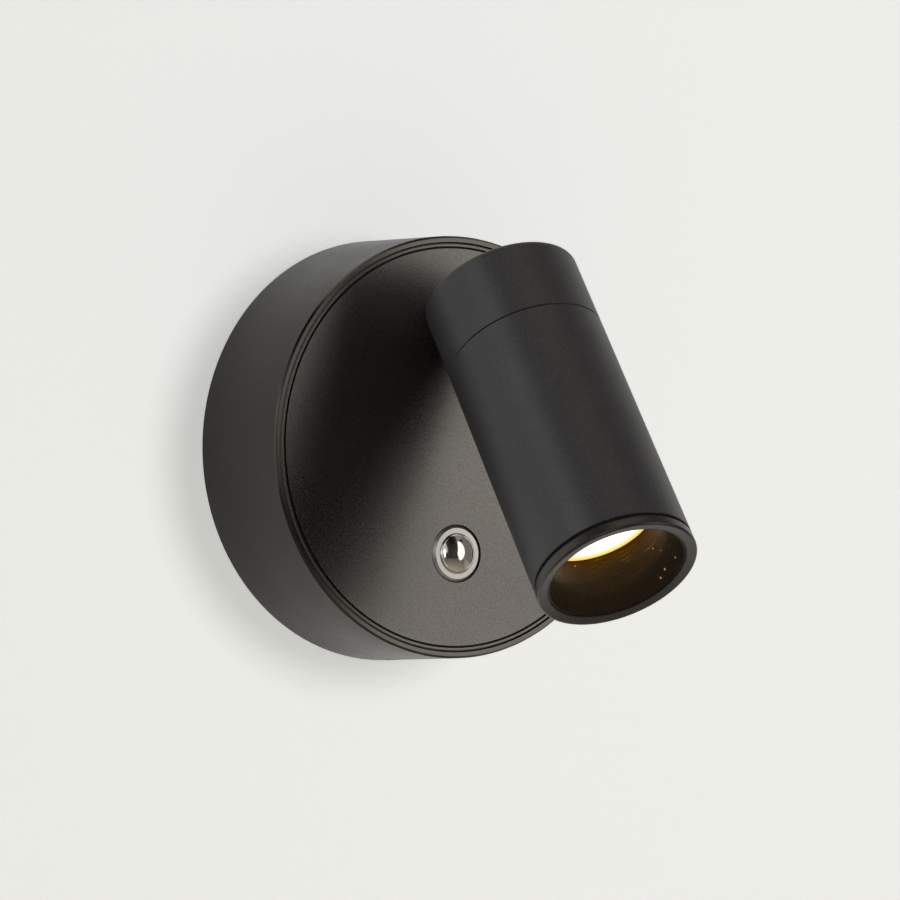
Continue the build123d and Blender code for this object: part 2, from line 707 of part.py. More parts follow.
# Light source
board = bar(board_dia / 2, board_seat, board_top) - [place * board_screw_hole for place in board_screw_places]
save("led_board", head_frame, board)
board_screw = screw(board_screw_dia, board_thick + board_thread)
board_screw = Pos(0, 0, board_top) * board_screw
save("board_screws", head_frame, *[place * board_screw for place in board_screw_places])
chip_top = board_top + chip_thick
chip = Pos(0, 0, board_top) * extrude(RectangleRounded(chip_width, chip_width, chip_thick), chip_thick)
save("led_chip", head_frame, chip)
save("led_emitter", head_frame, bar(emitter_dia / 2, chip_top, chip_top + emitter_thick))

# Lens: hollowed over the light source, with a curved side and a flange that its holder carries
lens_radius = head_inside - lens_edge_gap
lit_radius = lens_radius - lens_lap
lens_side_top = lit_radius - lens_side_gap
lens_back_radius = lens_back_dia / 2
pocket_radius = emitter_dia / 2
side_middle = ((lens_back_radius + lens_side_top) / 2 + lens_side_gap, (lens_back + lens_seat) / 2)
lens_section = make_face([
    Polyline(
        (lens_side_top, lens_seat), (lens_radius, lens_seat), (lens_radius, lens_front), (0, lens_front),
        (0, lens_back + pocket_depth),
        (pocket_radius * pocket_taper, lens_back + pocket_depth * pocket_taper),
        (pocket_radius, lens_back), (lens_back_radius, lens_back),
    ),
    ThreePointArc((lens_back_radius, lens_back), side_middle, (lens_side_top, lens_seat)),
])
save("lens", head_frame, revolve(Plane.XZ * lens_section, Axis.Z))

holder_back = board_dia / 2 + holder_gap
holder = turned(
    (holder_back, board_seat), (sink_radius, board_seat), (sink_radius, lens_seat),
    (lit_radius, lens_seat), (holder_back, (board_seat + lens_seat) / 2),
)
save("lens_holder", head_frame, holder)

# Mouth: glossy baffle, screwed-in bezel ring and the seal in the groove behind it
aperture = head_radius - bezel_face
skirt_outside = head_inside - slide_fit
skirt_inside = skirt_outside - skirt_wall
skirt_low = bezel_low - skirt_length
baffle_neck = skirt_inside - slide_fit
baffle_high = mouth - bezel_dish - baffle_sunk
baffle_lip = aperture - slide_fit
baffle = turned(
    (lit_radius, lens_front), (aperture - baffle_step, baffle_high), (baffle_lip, baffle_high),
    (baffle_lip, bezel_low), (baffle_neck, bezel_low), (baffle_neck, skirt_low - skirt_gap),
    (sink_radius, skirt_low - skirt_gap), (sink_radius, lens_front),
)
save("baffle", head_frame, baffle)
bezel = turned(
    (aperture, bezel_low), (aperture, mouth - bezel_dish), (head_radius - bezel_bevel, mouth),
    (head_radius, mouth - bezel_bevel), (skin(bezel_low), bezel_low),
    (skirt_outside, bezel_low), (skirt_outside, skirt_low), (skirt_inside, skirt_low),
    (skirt_inside, bezel_low),
)
save("bezel_ring", head_frame, bezel)
save("bezel_seal", head_frame, tube(head_radius - bezel_seal_sunk, skirt_outside, tube_high, bezel_low))

# Leads inside the drum: mains to the switch and the driver, and from the driver into the arm's bore
live_up, neutral_up = pole_ups[1:]
block_end = block_right + block_length / 2
into_sleeve = block_end - terminal_screw_spread / 2
out_of_block = block_end + lead_straight
driver_side = driver_right - driver_width / 2
mains_out = mount_thick + lead_up
neutral_lead = lead(
    lead_dia,
    Vector(into_sleeve, neutral_up, pole_axis), Vector(out_of_block, neutral_up, pole_axis),
    Vector(driver_side - lead_straight, neutral_up, mains_out), Vector(driver_side, neutral_up, mains_out),
)
save("neutral_lead", wall_frame, neutral_lead)
live_blade, switched_blade = [button_up + side * blade_spread / 2 for side in (1, -1)]
live_side, switched_side = [button_aside + side * blade_thick / 2 for side in (-1, 1)]
solder_out = switch_low - blade_length + blade_eye
live_lead = lead(
    lead_dia,
    Vector(into_sleeve, live_up, pole_axis), Vector(out_of_block, live_up, pole_axis),
    Vector(live_side - lead_straight, live_blade, solder_out), Vector(live_side, live_blade, solder_out),
)
save("live_lead", wall_frame, live_lead)
switched_right = driver_right + lead_aside
switched_lead = lead(
    lead_dia,
    Vector(switched_side, switched_blade, solder_out),
    Vector(switched_side + lead_straight, switched_blade, solder_out),
    Vector(switched_right, -driver_length / 2 - lead_straight, mains_out),
    Vector(switched_right, -driver_length / 2, mains_out),
)
save("switched_lead", wall_frame, switched_lead)
lamp_lead_out = mount_thick + lamp_lead_up
lamp_lead = lead(
    lamp_lead_dia,
    Vector(driver_right, driver_length / 2, lamp_lead_out),
    Vector(driver_right, driver_length / 2 + lead_straight, lamp_lead_out),
    Vector(0, hinge_up, stem_end - lead_straight), Vector(0, hinge_up, lead_hole_end - lead_bore),
)
save("lamp_lead", wall_frame, lamp_lead)
save("head_lead", head_frame, bar(lamp_lead_dia / 2, yoke_low - slip_thick, board_seat))
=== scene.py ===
import math

import bmesh
import bpy
import numpy as np
from mathutils import Matrix, Vector


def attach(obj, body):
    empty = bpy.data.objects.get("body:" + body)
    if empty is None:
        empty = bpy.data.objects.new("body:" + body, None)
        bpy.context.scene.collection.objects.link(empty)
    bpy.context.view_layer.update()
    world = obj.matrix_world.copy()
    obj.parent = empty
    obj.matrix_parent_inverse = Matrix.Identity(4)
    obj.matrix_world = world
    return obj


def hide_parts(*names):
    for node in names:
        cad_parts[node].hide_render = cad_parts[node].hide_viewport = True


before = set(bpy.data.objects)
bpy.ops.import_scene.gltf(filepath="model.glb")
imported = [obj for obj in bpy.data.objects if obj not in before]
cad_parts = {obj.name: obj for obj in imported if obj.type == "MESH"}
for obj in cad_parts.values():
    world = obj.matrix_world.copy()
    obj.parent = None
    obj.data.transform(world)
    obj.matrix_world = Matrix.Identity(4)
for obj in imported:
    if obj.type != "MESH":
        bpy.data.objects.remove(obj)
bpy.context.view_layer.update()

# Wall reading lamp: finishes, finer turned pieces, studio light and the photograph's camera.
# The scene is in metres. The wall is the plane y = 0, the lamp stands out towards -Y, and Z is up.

MM = 0.001

# Places and sizes in millimetres: the solids' own, and those of the finer forms made here

DRUM_DEPTH = 32.0
DRUM_RADIUS = 50.0
DRUM_BEVEL = 0.5
GROOVE_INNER = 47.05
GROOVE_OUTER = 47.55
PLATE_RADIUS = 48.3
PLATE_EDGE = 0.25

HEAD_ORIGIN = (0.0, -57.0, 30.2)  # the middle of the tilting joint
REST_TILT = 53.9  # degrees that the head points down
ALONG_HEAD = math.radians(90 + REST_TILT)
OUT_OF_WALL = math.radians(90)

BUTTON_ORIGIN = (0.9, 0.0, -25.2)
FLANGE_LOW = 31.4
FLANGE_TOP = 32.3
FLANGE_RADIUS = 6.8
FLANGE_BEVEL = 0.72
FLANGE_FOOT = 31.6  # height of the bevel's foot, a little inside the front plate
BARREL_RADIUS = 6.0
BARREL_LOW = 18.0
LIP_BORE = 5.3
DOME_BORE = 4.8
SHOULDER = 28.6
DOME_RADIUS = 4.74
DOME_RIM = 32.55
DOME_RISE = 1.5
CROWN_RADIUS = 4.35
CROWN_STEP = 0.12
CROWN_GROOVE_FOOT = 0.06  # from the crown's edge to the middle and the end of the groove round it
CROWN_GROOVE_END = 0.18
DOME_DEPTH = 5.0
DOME_LIP = 0.5
DOME_LIP_THICK = 1.0
ROD_RADIUS = 1.4
ROD_LENGTH = 7.0

MOUTH = 76.5
BEZEL_LOW = 74.0
BEZEL_DISH = 0.6
BEZEL_BACK_RADIUS = 19.67
HEAD_RADIUS = 19.7
APERTURE = 16.9
SKIRT_OUTSIDE = 17.6
SKIRT_INSIDE = 17.0
SKIRT_LOW = 69.0
LENS_FRONT = 61.5
LIT_RADIUS = 14.25
BAFFLE_MOUTH = 16.55
BAFFLE_HIGH = 75.65
BAFFLE_LIP = 16.85
BAFFLE_NECK = 16.95
BAFFLE_FOOT = 68.7
BAFFLE_SWELL = 0.02
SINK_RADIUS = 17.6

# Fineness of the turned surfaces

TURNS = 192  # facets round a turned piece
ARC_POINTS = 7
CROWN_POINTS = 40
CONE_POINTS = 33
ARC_SUPPORT = 1.15  # where a side's first flat point lies, as a multiple of the arc's reach
MERGE_DISTANCE = 1e-7  # metres
SHARP_EDGE = math.radians(40)

# Zones of finish and of painted light and shade, in millimetres: margins round the edges that they follow,
# and the baffle's painted glow and marks

LIP_MARGIN = 0.05
BEVEL_START = 0.15
BEVEL_MARGIN = 0.1
PLATE_MARGIN = 0.02
BORE_INSIDE = 0.1
BORE_EDGE = 0.3
LENS_GLOW = 5.0  # reach of the light that falls on the baffle beside the lens
LENS_FADE = 10.5  # radius at which the lens begins to turn amber
FROST_GRAIN = 0.5
FROST_RELIEF = 0.01
SPECK_SPACING = 3.0
SPECK_SIZE = 0.09  # as a share of the spacing
SPECK_SHARE = 0.4  # share of the places that have a speck
STREAK_REACH = 13.0
STREAK_LENGTH = 6.0
STREAK_WIDTH = 0.3
STREAK_PEAK = 0.8  # noise value at which a streak is full

# Noise mostly lies between these two values
NOISE_LOW = 0.3
NOISE_HIGH = 0.7

# Strength of the light that the lens gives, in its middle and at its edge
LENS_BRIGHT = 2.3
LENS_EDGE_BRIGHT = 1.1


# Colours and nodes


def colour(code):
    """sRGB hex code as a linear colour with full alpha."""
    srgb = np.array([int(code[i:i + 2], 16) for i in (1, 3, 5)]) / 255
    linear = np.where(srgb <= 0.04045, srgb / 12.92, ((srgb + 0.055) / 1.055) ** 2.4)
    return (*linear.tolist(), 1.0)


def node(tree, kind, inputs=None, **settings):
    """Adds a node: settings are its properties, inputs are socket values or the sockets that feed them."""
    made = tree.nodes.new("ShaderNode" + kind)
    for name, value in settings.items():
        setattr(made, name, value)
    for name, value in (inputs or {}).items():
        if isinstance(value, bpy.types.NodeSocket):
            tree.links.new(value, made.inputs[name])
        else:
            made.inputs[name].default_value = value
    return made


def new_material(name):
    """Empty node material with its output, ready for a surface."""
    material = bpy.data.materials.new(name)
    material.use_nodes = True
    material.node_tree.nodes.clear()
    output = node(material.node_tree, "OutputMaterial")
    return material, material.node_tree, output.inputs["Surface"]


def head_point(tree, point):
    """Same point in the head's own frame, whose Z runs from the tilt axis to the mouth."""
    place = {"Vector": point, "Location": [size * MM for size in HEAD_ORIGIN],
             "Rotation": (ALONG_HEAD, 0.0, 0.0)}
    return node(tree, "Mapping", place, vector_type="TEXTURE").outputs["Vector"]


def from_axis(tree, point, kept):
    """Length of a point's part across an axis.

    kept is one for the two directions across the axis, and nought for the one along it.
    """
    flat = node(tree, "VectorMath", {0: point, 1: kept}, operation="MULTIPLY").outputs["Vector"]
    return node(tree, "VectorMath", {0: flat}, operation="LENGTH").outputs["Value"]


def from_head_axis(tree, point):
    """Distance from the head's axis."""
    return from_axis(tree, head_point(tree, point), (1.0, 1.0, 0.0))


def between(tree, value, low, high):
    """One where a length lies between two sizes in millimetres, nought elsewhere."""
    middle, half = (low + high) / 2 * MM, (high - low) / 2 * MM
    return node(tree, "Math", {0: value, 1: middle, 2: half}, operation="COMPARE").outputs["Value"]


def drum_lip(tree, point):
    """The flat front edge of the drum."""
    out = node(tree, "SeparateXYZ", {"Vector": point}).outputs["Y"]
    return between(tree, out, -DRUM_DEPTH - LIP_MARGIN, -DRUM_DEPTH + LIP_MARGIN)


def drum_bevel(tree, point):
    """The outer part of the bevel between the drum's side and its front edge."""
    out = node(tree, "SeparateXYZ", {"Vector": point}).outputs["Y"]
    bevel = between(tree, out, -DRUM_DEPTH + BEVEL_START, -DRUM_DEPTH + DRUM_BEVEL + BEVEL_MARGIN)
    across = from_axis(tree, point, (1.0, 0.0, 1.0))
    outside = between(tree, across, DRUM_RADIUS - DRUM_BEVEL, DRUM_RADIUS + BEVEL_MARGIN)
    return node(tree, "Math", {0: bevel, 1: outside}, operation="MULTIPLY").outputs["Value"]


def plate_rim(tree, point):
    """The narrow bevel round the front plate, painted a matt mid grey as a painted sheen."""
    across = from_axis(tree, point, (1.0, 0.0, 1.0))
    return between(tree, across, PLATE_RADIUS - PLATE_EDGE - PLATE_MARGIN, PLATE_RADIUS + PLATE_MARGIN)


def plate_groove(tree, point):
    """The groove near the front plate's edge, which is painted near black as painted shade."""
    across = from_axis(tree, point, (1.0, 0.0, 1.0))
    return between(tree, across, GROOVE_INNER - PLATE_MARGIN, GROOVE_OUTER + PLATE_MARGIN)


def bezel_bore(tree, point):
    """The wall of the bezel's opening and the rounded edge in front of it, which are painted dull black as
    painted shade.
    """
    return between(tree, from_head_axis(tree, point), APERTURE - BORE_INSIDE, APERTURE + BORE_EDGE)


def beside_lens(tree, point, reach=LENS_GLOW):
    """One at the baffle's foot beside the lens, fading to nought over its reach: where the lens's light is
    painted on the baffle.
    """
    along = node(tree, "SeparateXYZ", {"Vector": head_point(tree, point)}).outputs["Z"]
    span = {"Value": along, "From Min": LENS_FRONT * MM, "From Max": (LENS_FRONT + reach) * MM,
            "To Min": 1.0, "To Max": 0.0}
    return node(tree, "MapRange", span, interpolation_type="SMOOTHERSTEP").outputs["Result"]


def specks(tree, point):
    """One inside a few small specks, each near the middle of a cell of the pattern, in some cells only. The
    specks are painted glints.
    """
    cells = node(tree, "TexVoronoi", {"Vector": point, "Scale": 1 / (SPECK_SPACING * MM)}).outputs
    near = node(tree, "Math", {0: cells["Distance"], 1: SPECK_SIZE}, operation="LESS_THAN").outputs["Value"]
    draw = node(tree, "SeparateColor", {"Color": cells["Color"]}).outputs["Red"]
    chosen = node(tree, "Math", {0: draw, 1: SPECK_SHARE}, operation="LESS_THAN").outputs["Value"]
    return node(tree, "Math", {0: near, 1: chosen}, operation="MULTIPLY").outputs["Value"]


def streaks(tree, point):
    """One along a few fine moulding lines near the lens, painted amber as the lens's light on them.

    The lines are the peaks of a noise that is drawn out round the head's axis and narrow along it.
    """
    place = node(tree, "SeparateXYZ", {"Vector": head_point(tree, point)}).outputs
    angle = node(tree, "Math", {0: place["Y"], 1: place["X"]}, operation="ARCTAN2").outputs["Value"]
    unrolled = node(tree, "CombineXYZ", {"X": angle, "Y": place["Z"]}).outputs["Vector"]
    drawn = {"Vector": unrolled, "Scale": (LIT_RADIUS / STREAK_LENGTH, 1 / (STREAK_WIDTH * MM), 1.0)}
    lines = node(tree, "TexNoise", {
        "Vector": node(tree, "Mapping", drawn).outputs["Vector"], "Scale": 1.0, "Detail": 0.0}).outputs["Fac"]
    peaks = {"Value": lines, "From Min": NOISE_HIGH, "From Max": STREAK_PEAK}
    chosen = node(tree, "MapRange", peaks).outputs["Result"]
    near = beside_lens(tree, point, STREAK_REACH)
    return node(tree, "Math", {0: chosen, 1: near}, operation="MULTIPLY").outputs["Value"]


def finish(name, dark, light, grain_mm, relief_mm, rough, rough_swing=0.08, surface=None, cloud_mm=25.0,
           detail=2.0, zones=()):
    """Grained finish: fine noise sets the shade, the relief and, with a slow cloud, the gloss.

    The shade runs from dark to light with the grain. Relief is the grain's height in millimetres.
    zones are parts of the piece with another look, each as (where it is, shade, metallic, roughness).
    """
    material, tree, out = new_material(name)
    point = node(tree, "TexCoord").outputs["Object"]
    grain_inputs = {"Vector": point, "Scale": 1 / (grain_mm * MM), "Detail": detail, "Roughness": 0.6}
    grain = node(tree, "TexNoise", grain_inputs).outputs["Fac"]
    cloud_inputs = {"Vector": point, "Scale": 1 / (cloud_mm * MM), "Detail": 3.0}
    cloud = node(tree, "TexNoise", cloud_inputs).outputs["Fac"]
    spread = {"Value": grain, "From Min": NOISE_LOW, "From Max": NOISE_HIGH}
    shade = node(tree, "MapRange", spread).outputs["Result"]
    base = node(tree, "MixRGB", {"Fac": shade, "Color1": colour(dark), "Color2": colour(light)})
    both = node(tree, "Math", {0: grain, 1: cloud}, operation="ADD").outputs["Value"]
    gloss = {"Value": both, "From Min": 2 * NOISE_LOW, "From Max": 2 * NOISE_HIGH,
             "To Min": rough - rough_swing, "To Max": rough + rough_swing}
    relief = node(tree, "Bump", {"Height": grain, "Distance": relief_mm * MM, "Strength": 1.0})
    look = {
        "Base Color": base.outputs["Color"],
        "Roughness": node(tree, "MapRange", gloss).outputs["Result"],
        "Normal": relief.outputs["Normal"],
        **(surface or {}),
    }
    for where, zone_shade, zone_metallic, zone_rough in zones:
        inside = where(tree, point)
        look["Base Color"] = node(tree, "MixRGB", {
            "Fac": inside, "Color1": look["Base Color"], "Color2": colour(zone_shade)}).outputs["Color"]
        metallic = {"Value": inside, "To Min": look.get("Metallic", 0.0), "To Max": zone_metallic}
        look["Metallic"] = node(tree, "MapRange", metallic).outputs["Result"]
        look["Roughness"] = node(tree, "MapRange", {
            "Value": inside, "To Min": look["Roughness"], "To Max": zone_rough}).outputs["Result"]
    shader = node(tree, "BsdfPrincipled", look)
    tree.links.new(shader.outputs["BSDF"], out)
    return material


METAL = {"Metallic": 1.0}


# Outer finishes

# Satin black on the turned drum: smooth, a faint orange peel, soft wide highlights near the edges.
# Its front edge is cut clean and has the front plate's grey metal sheen, inside a darker polished bevel.
drum_anodised = finish("satin_black_anodised_turned_aluminium", "#151312", "#1b1817", 0.9, 0.003, 0.33,
                       surface={"IOR": 1.35, "Specular Tint": colour("#f6e8e0")},
                       zones=[(drum_lip, "#62605c", 1.0, 0.29), (drum_bevel, "#4a4846", 1.0, 0.2)])
# Sand-blasted, black-dyed aluminium: a metal sheen that goes grey under the light, broken by fine sparkling
# grain. The dyed layer is not quite metal. The real grit is near 0.1 mm, so it is drawn 0.45 mm wide to show.
# The plate's groove is painted near black as painted shade.
plate_anodised = finish("sandblasted_black_anodised_aluminium", "#595857", "#767472", 0.45, 0.003, 0.29, 0.04,
                        surface={"Metallic": 0.88}, detail=3.0,
                        # The bevel round the plate is painted a matt mid grey as a painted sheen.
                        zones=[(plate_groove, "#0d0c0c", 0.0, 0.7), (plate_rim, "#6a6763", 0.0, 0.55)])
# Fine-textured black powder coat on the head: nearly no shine, a dry pebbled grain that catches side light.
# The real pebbles are near 0.2 mm and are drawn 0.5 mm wide.
head_powder = finish("fine_texture_black_powder_coat", "#212023", "#39373a", 0.5, 0.03, 0.46,
                     surface={"IOR": 1.5})
# Black-dyed turned aluminium of the bezel: brown-grey metal sheen, with painted shade: dull black where its
# opening begins.
bezel_anodised = finish("turned_black_anodised_aluminium", "#454342", "#53504e", 0.4, 0.006, 0.38,
                        surface=METAL, zones=[(bezel_bore, "#0c0a09", 0.0, 0.65)])
# Paint on the arm: the drum's satin black, a little duller and with a faint orange peel.
arm_paint = finish("satin_black_paint_on_steel", "#201f1f", "#292727", 0.7, 0.006, 0.42, surface={"IOR": 1.5})
# Black oxide on the screws: dull, with a slight blue-grey metal sheen.
black_oxide = finish("black_oxide_steel_screws", "#2b2c2e", "#3c3d40", 0.3, 0.004, 0.42, surface=METAL)

# Mirror finishes

# Chrome plate on the button: a full mirror with the lightest veil of wiping marks.
chrome = finish("polished_chrome_plate", "#dcdbd9", "#e4e3e1", 0.35, 0.00006, 0.09, 0.02, surface=METAL)
# Satin stainless of the button's flange: turned, so it spreads the light evenly to a pale grey.
satin_steel = finish("turned_satin_stainless_steel", "#abaaa9", "#c1c0be", 0.25, 0.003, 0.33, surface=METAL)
# Glossy black moulding of the baffle with a soft gloss. Painted light: amber-brown beside the lens fading to
# black towards the mouth, amber moulding lines near the lens, and a few pale specks as glints.
baffle_gloss = finish("gloss_black_moulded_polycarbonate", "#24201b", "#26221c", 2.5, 0.002, 0.28, 0.03,
                      surface={"IOR": 1.24, "Specular Tint": colour("#ffba50")},
                      zones=[(beside_lens, "#3a2a0e", 0.0, 0.3), (streaks, "#7a5e28", 0.0, 0.2),
                             (specks, "#d8b866", 0.0, 0.3)])

# Inner finishes

# Zinc plate on steel: bright grey with a faint mottle.
zinc = finish("bright_zinc_plated_steel", "#a9aaa8", "#c3c5c6", 1.2, 0.004, 0.34, surface=METAL)
# Drawn brass: a warm yellow metal with a soft shine.
brass = finish("drawn_brass", "#b08d4a", "#c9a766", 0.5, 0.004, 0.3, surface=METAL)
# Bare aluminium from the lathe: pale grey metal that spreads the light.
aluminium = finish("bare_machined_aluminium", "#b5b7b8", "#cfd1d2", 0.4, 0.005, 0.35, surface=METAL)
# Moulded rubber: dull black with no clear highlight.
rubber = finish("moulded_black_rubber", "#171717", "#222221", 0.3, 0.01, 0.72)
# Moulded black polycarbonate: dark, with a soft shine.
black_plastic = finish("moulded_black_polycarbonate", "#151515", "#1e1e1e", 0.35, 0.008, 0.45)
# Moulded polyamide: an off-white with a dry, even surface.
white_plastic = finish("moulded_white_polyamide", "#dedcd4", "#eceae3", 0.5, 0.008, 0.5)
# Natural nylon: cream, waxy, and a little see-through at its edges.
nylon = finish("turned_natural_nylon", "#d9d3c2", "#e6e1d3", 0.6, 0.006, 0.45,
               surface={"Subsurface Weight": 0.15, "Subsurface Scale": 0.002})
# Solder mask on the board: a smooth white.
white_board = finish("white_solder_mask", "#e9ebe8", "#f3f4f1", 0.8, 0.004, 0.35)
# Soft plastic on the leads: plain colours with a low shine.
brown_lead = finish("brown_pvc_lead", "#5a3320", "#6b3f29", 0.5, 0.006, 0.42)
black_lead = finish("black_pvc_lead", "#191919", "#242424", 0.5, 0.006, 0.42)
blue_lead = finish("blue_pvc_lead", "#23508a", "#2f62a0", 0.5, 0.006, 0.42)


def lit_lens_material():
    """Frosted lens over the lamp's warm light: white in the middle, pale yellow and then amber at its edge.

    The glow follows the distance from the head's axis, as the light leaves the lens.
    """
    material, tree, out = new_material("frosted_acrylic_lens_lit_warm_white")
    point = node(tree, "TexCoord").outputs["Object"]
    edge = node(tree, "MapRange", {
        "Value": from_head_axis(tree, point), "From Min": LENS_FADE * MM, "From Max": LIT_RADIUS * MM,
    }, interpolation_type="SMOOTHSTEP").outputs["Result"]
    frost = node(tree, "TexNoise", {"Vector": point, "Scale": 1 / (FROST_GRAIN * MM)}).outputs["Fac"]
    glow = node(tree, "MixRGB", {"Fac": edge, "Color1": colour("#fff2d8"), "Color2": colour("#ffc45c")})
    fading = {"Value": edge, "To Min": LENS_BRIGHT, "To Max": LENS_EDGE_BRIGHT}
    strength = node(tree, "MapRange", fading).outputs["Result"]
    relief = node(tree, "Bump", {"Height": frost, "Distance": FROST_RELIEF * MM, "Strength": 1.0})
    shader = node(tree, "BsdfPrincipled", {
        "Base Color": colour("#f4efe4"), "Roughness": 0.35, "IOR": 1.49,
        "Normal": relief.outputs["Normal"],
        "Emission Color": glow.outputs["Color"], "Emission Strength": strength,
    })
    tree.links.new(shader.outputs["BSDF"], out)
    return material


lit_lens = lit_lens_material()
# Phosphor of the light source: yellow and glowing under clear silicone.
phosphor = finish("yellow_phosphor_under_silicone", "#e0b83a", "#efcf5c", 0.4, 0.01, 0.3,
                  surface={"Emission Color": colour("#ffdca0"), "Emission Strength": 1.5})

FINISHES = {
    drum_anodised: ["base_drum"],
    plate_anodised: ["front_plate"],
    head_powder: ["head_cap", "head_tube"],
    bezel_anodised: ["bezel_ring"],
    arm_paint: ["swivel_arm"],
    black_oxide: ["side_screws", "cap_screw"],
    chrome: ["button_dome"],
    satin_steel: ["button_body"],
    baffle_gloss: ["baffle"],
    zinc: [
        "wall_plate", "plate_screws", "terminal_screws", "block_screws", "driver_screws", "button_nut",
        "stop_pin", "stop_washer", "stem_spring", "stem_nut", "hinge_yoke", "yoke_screws", "hinge_bolt",
        "hinge_spring", "hinge_nut", "board_screws",
    ],
    brass: ["earth_screw", "terminal_sleeves", "switch_terminals"],
    aluminium: ["heat_sink"],
    rubber: ["cable_grommet", "button_seal", "bezel_seal"],
    black_plastic: ["switch_base", "lens_holder"],
    white_plastic: ["terminal_block", "led_driver", "led_chip"],
    nylon: ["stem_bush", "slip_washer", "hinge_washers"],
    white_board: ["led_board"],
    brown_lead: ["live_lead"],
    black_lead: ["switched_lead", "lamp_lead", "head_lead"],
    blue_lead: ["neutral_lead"],
    lit_lens: ["lens"],
    phosphor: ["led_emitter"],
}
for material, names in FINISHES.items():
    for name in names:
        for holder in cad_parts[name].material_slots:
            holder.material = material


# Turned pieces


def rounded(corners):
    """Profile through (radius, height, rounding) corners, each rounding an arc that touches both sides.

    An arc starts at rounding / tan(half the corner's angle) from the corner, and its centre is on the line
    that halves the corner. A point a hair outside each end of the arc keeps the sides flat when shaded.
    """
    points = np.array([corner[:2] for corner in corners])
    roundings = np.array([corner[2] for corner in corners])
    profile = []
    for i, (here, rounding) in enumerate(zip(points, roundings)):
        if rounding == 0:
            profile.append(here[None])
            continue
        back = points[i - 1] - here
        ahead = points[(i + 1) % len(points)] - here
        back, ahead = back / np.linalg.norm(back), ahead / np.linalg.norm(ahead)
        half = math.acos(np.clip(back @ ahead, -1, 1)) / 2
        reach = rounding / math.tan(half)
        middle = (back + ahead) / np.linalg.norm(back + ahead) * rounding / math.sin(half)
        start, end = back * reach - middle, ahead * reach - middle
        sweep = math.pi - 2 * half
        steps = np.linspace(0, 1, ARC_POINTS)[:, None]
        arc = (np.sin((1 - steps) * sweep) * start + np.sin(steps * sweep) * end) / math.sin(sweep)
        support = reach * ARC_SUPPORT
        profile.append(np.vstack([here + back * support, here + middle + arc, here + ahead * support]))
    return np.vstack(profile)


def turned(name, profile, origin, turn, finish_used, closed, ripple=None):
    """Surface of revolution: each profile point (radius, height) is carried round its own frame's Z axis.

    A point is (radius cos a, radius sin a, height), turned about X and moved to its origin. An open profile
    starts and ends on the axis, and its two ends are single points. ripple, where given, adds to the radius.
    """
    angle = np.linspace(0, 2 * math.pi, TURNS, endpoint=False)[None]
    radius = profile[:, :1] + (ripple(profile, angle) if ripple else 0)
    across, aside = radius * np.cos(angle), radius * np.sin(angle)
    local = np.stack(np.broadcast_arrays(across, aside, profile[:, 1:]), axis=-1).reshape(-1, 3)
    spin = np.array(Matrix.Rotation(turn, 3, "X"))
    points = (local @ spin.T + np.array(origin)) * MM
    rows = len(profile) if closed else len(profile) - 1
    row, column = np.meshgrid(np.arange(rows), np.arange(TURNS), indexing="ij")
    below, above = row * TURNS, (row + 1) % len(profile) * TURNS
    beside = (column + 1) % TURNS
    faces = np.stack([below + column, below + beside, above + beside, above + column], axis=-1).reshape(-1, 4)
    mesh = bpy.data.meshes.new(name)
    mesh.from_pydata(points.tolist(), [], faces.tolist())
    shape = bmesh.new()
    shape.from_mesh(mesh)
    bmesh.ops.remove_doubles(shape, verts=shape.verts, dist=MERGE_DISTANCE)
    bmesh.ops.recalc_face_normals(shape, faces=shape.faces)
    shape.to_mesh(mesh)
    shape.free()
    mesh.shade_smooth()
    mesh.set_sharp_from_angle(angle=SHARP_EDGE)
    mesh.materials.append(finish_used)
    piece = bpy.data.objects.new(name, mesh)
    bpy.context.scene.collection.objects.link(piece)
    return piece


def chrome_cap():
    """Button's cap: a crown that is part of a sphere, a fine groove, a sloped rim, then the lip and rod."""
    crown_rise = DOME_RISE - CROWN_STEP
    sphere = (CROWN_RADIUS**2 + crown_rise**2) / (2 * crown_rise)
    low = DOME_RIM - DOME_DEPTH
    sweep = np.linspace(0, math.asin(CROWN_RADIUS / sphere), CROWN_POINTS)
    crown = np.stack([sphere * np.sin(sweep), DOME_RIM + DOME_RISE - sphere * (1 - np.cos(sweep))], axis=-1)
    side = rounded([
        (CROWN_RADIUS, DOME_RIM + CROWN_STEP, 0.0),
        (CROWN_RADIUS + CROWN_GROOVE_FOOT, DOME_RIM - CROWN_STEP, 0.0),
        (CROWN_RADIUS + CROWN_GROOVE_END, DOME_RIM, 0.0), (DOME_RADIUS, DOME_RIM - CROWN_STEP, 0.05),
        (DOME_RADIUS, low + DOME_LIP_THICK, 0.0),
        (DOME_RADIUS + DOME_LIP, low + DOME_LIP_THICK, 0.1), (DOME_RADIUS + DOME_LIP, low, 0.1),
        (ROD_RADIUS, low, 0.0), (ROD_RADIUS, low - ROD_LENGTH, 0.2), (0.0, low - ROD_LENGTH, 0.0),
    ])
    profile = np.vstack([crown, side[1:]])
    return turned("chrome_button_cap", profile, BUTTON_ORIGIN, OUT_OF_WALL, chrome, closed=False)


def steel_flange():
    """Button's barrel: a low flange with a bevelled edge, the barrel behind, and the cap's stepped bore."""
    profile = rounded([
        (DOME_BORE, FLANGE_TOP, 0.06), (FLANGE_RADIUS - FLANGE_BEVEL, FLANGE_TOP, 0.25),
        (FLANGE_RADIUS, FLANGE_FOOT, 0.05), (FLANGE_RADIUS, FLANGE_LOW, 0.05),
        (BARREL_RADIUS, FLANGE_LOW, 0.0), (BARREL_RADIUS, BARREL_LOW, 0.1), (LIP_BORE, BARREL_LOW, 0.05),
        (LIP_BORE, SHOULDER, 0.0), (DOME_BORE, SHOULDER, 0.05),
    ])
    return turned("steel_button_flange", profile, BUTTON_ORIGIN, OUT_OF_WALL, satin_steel, closed=True)


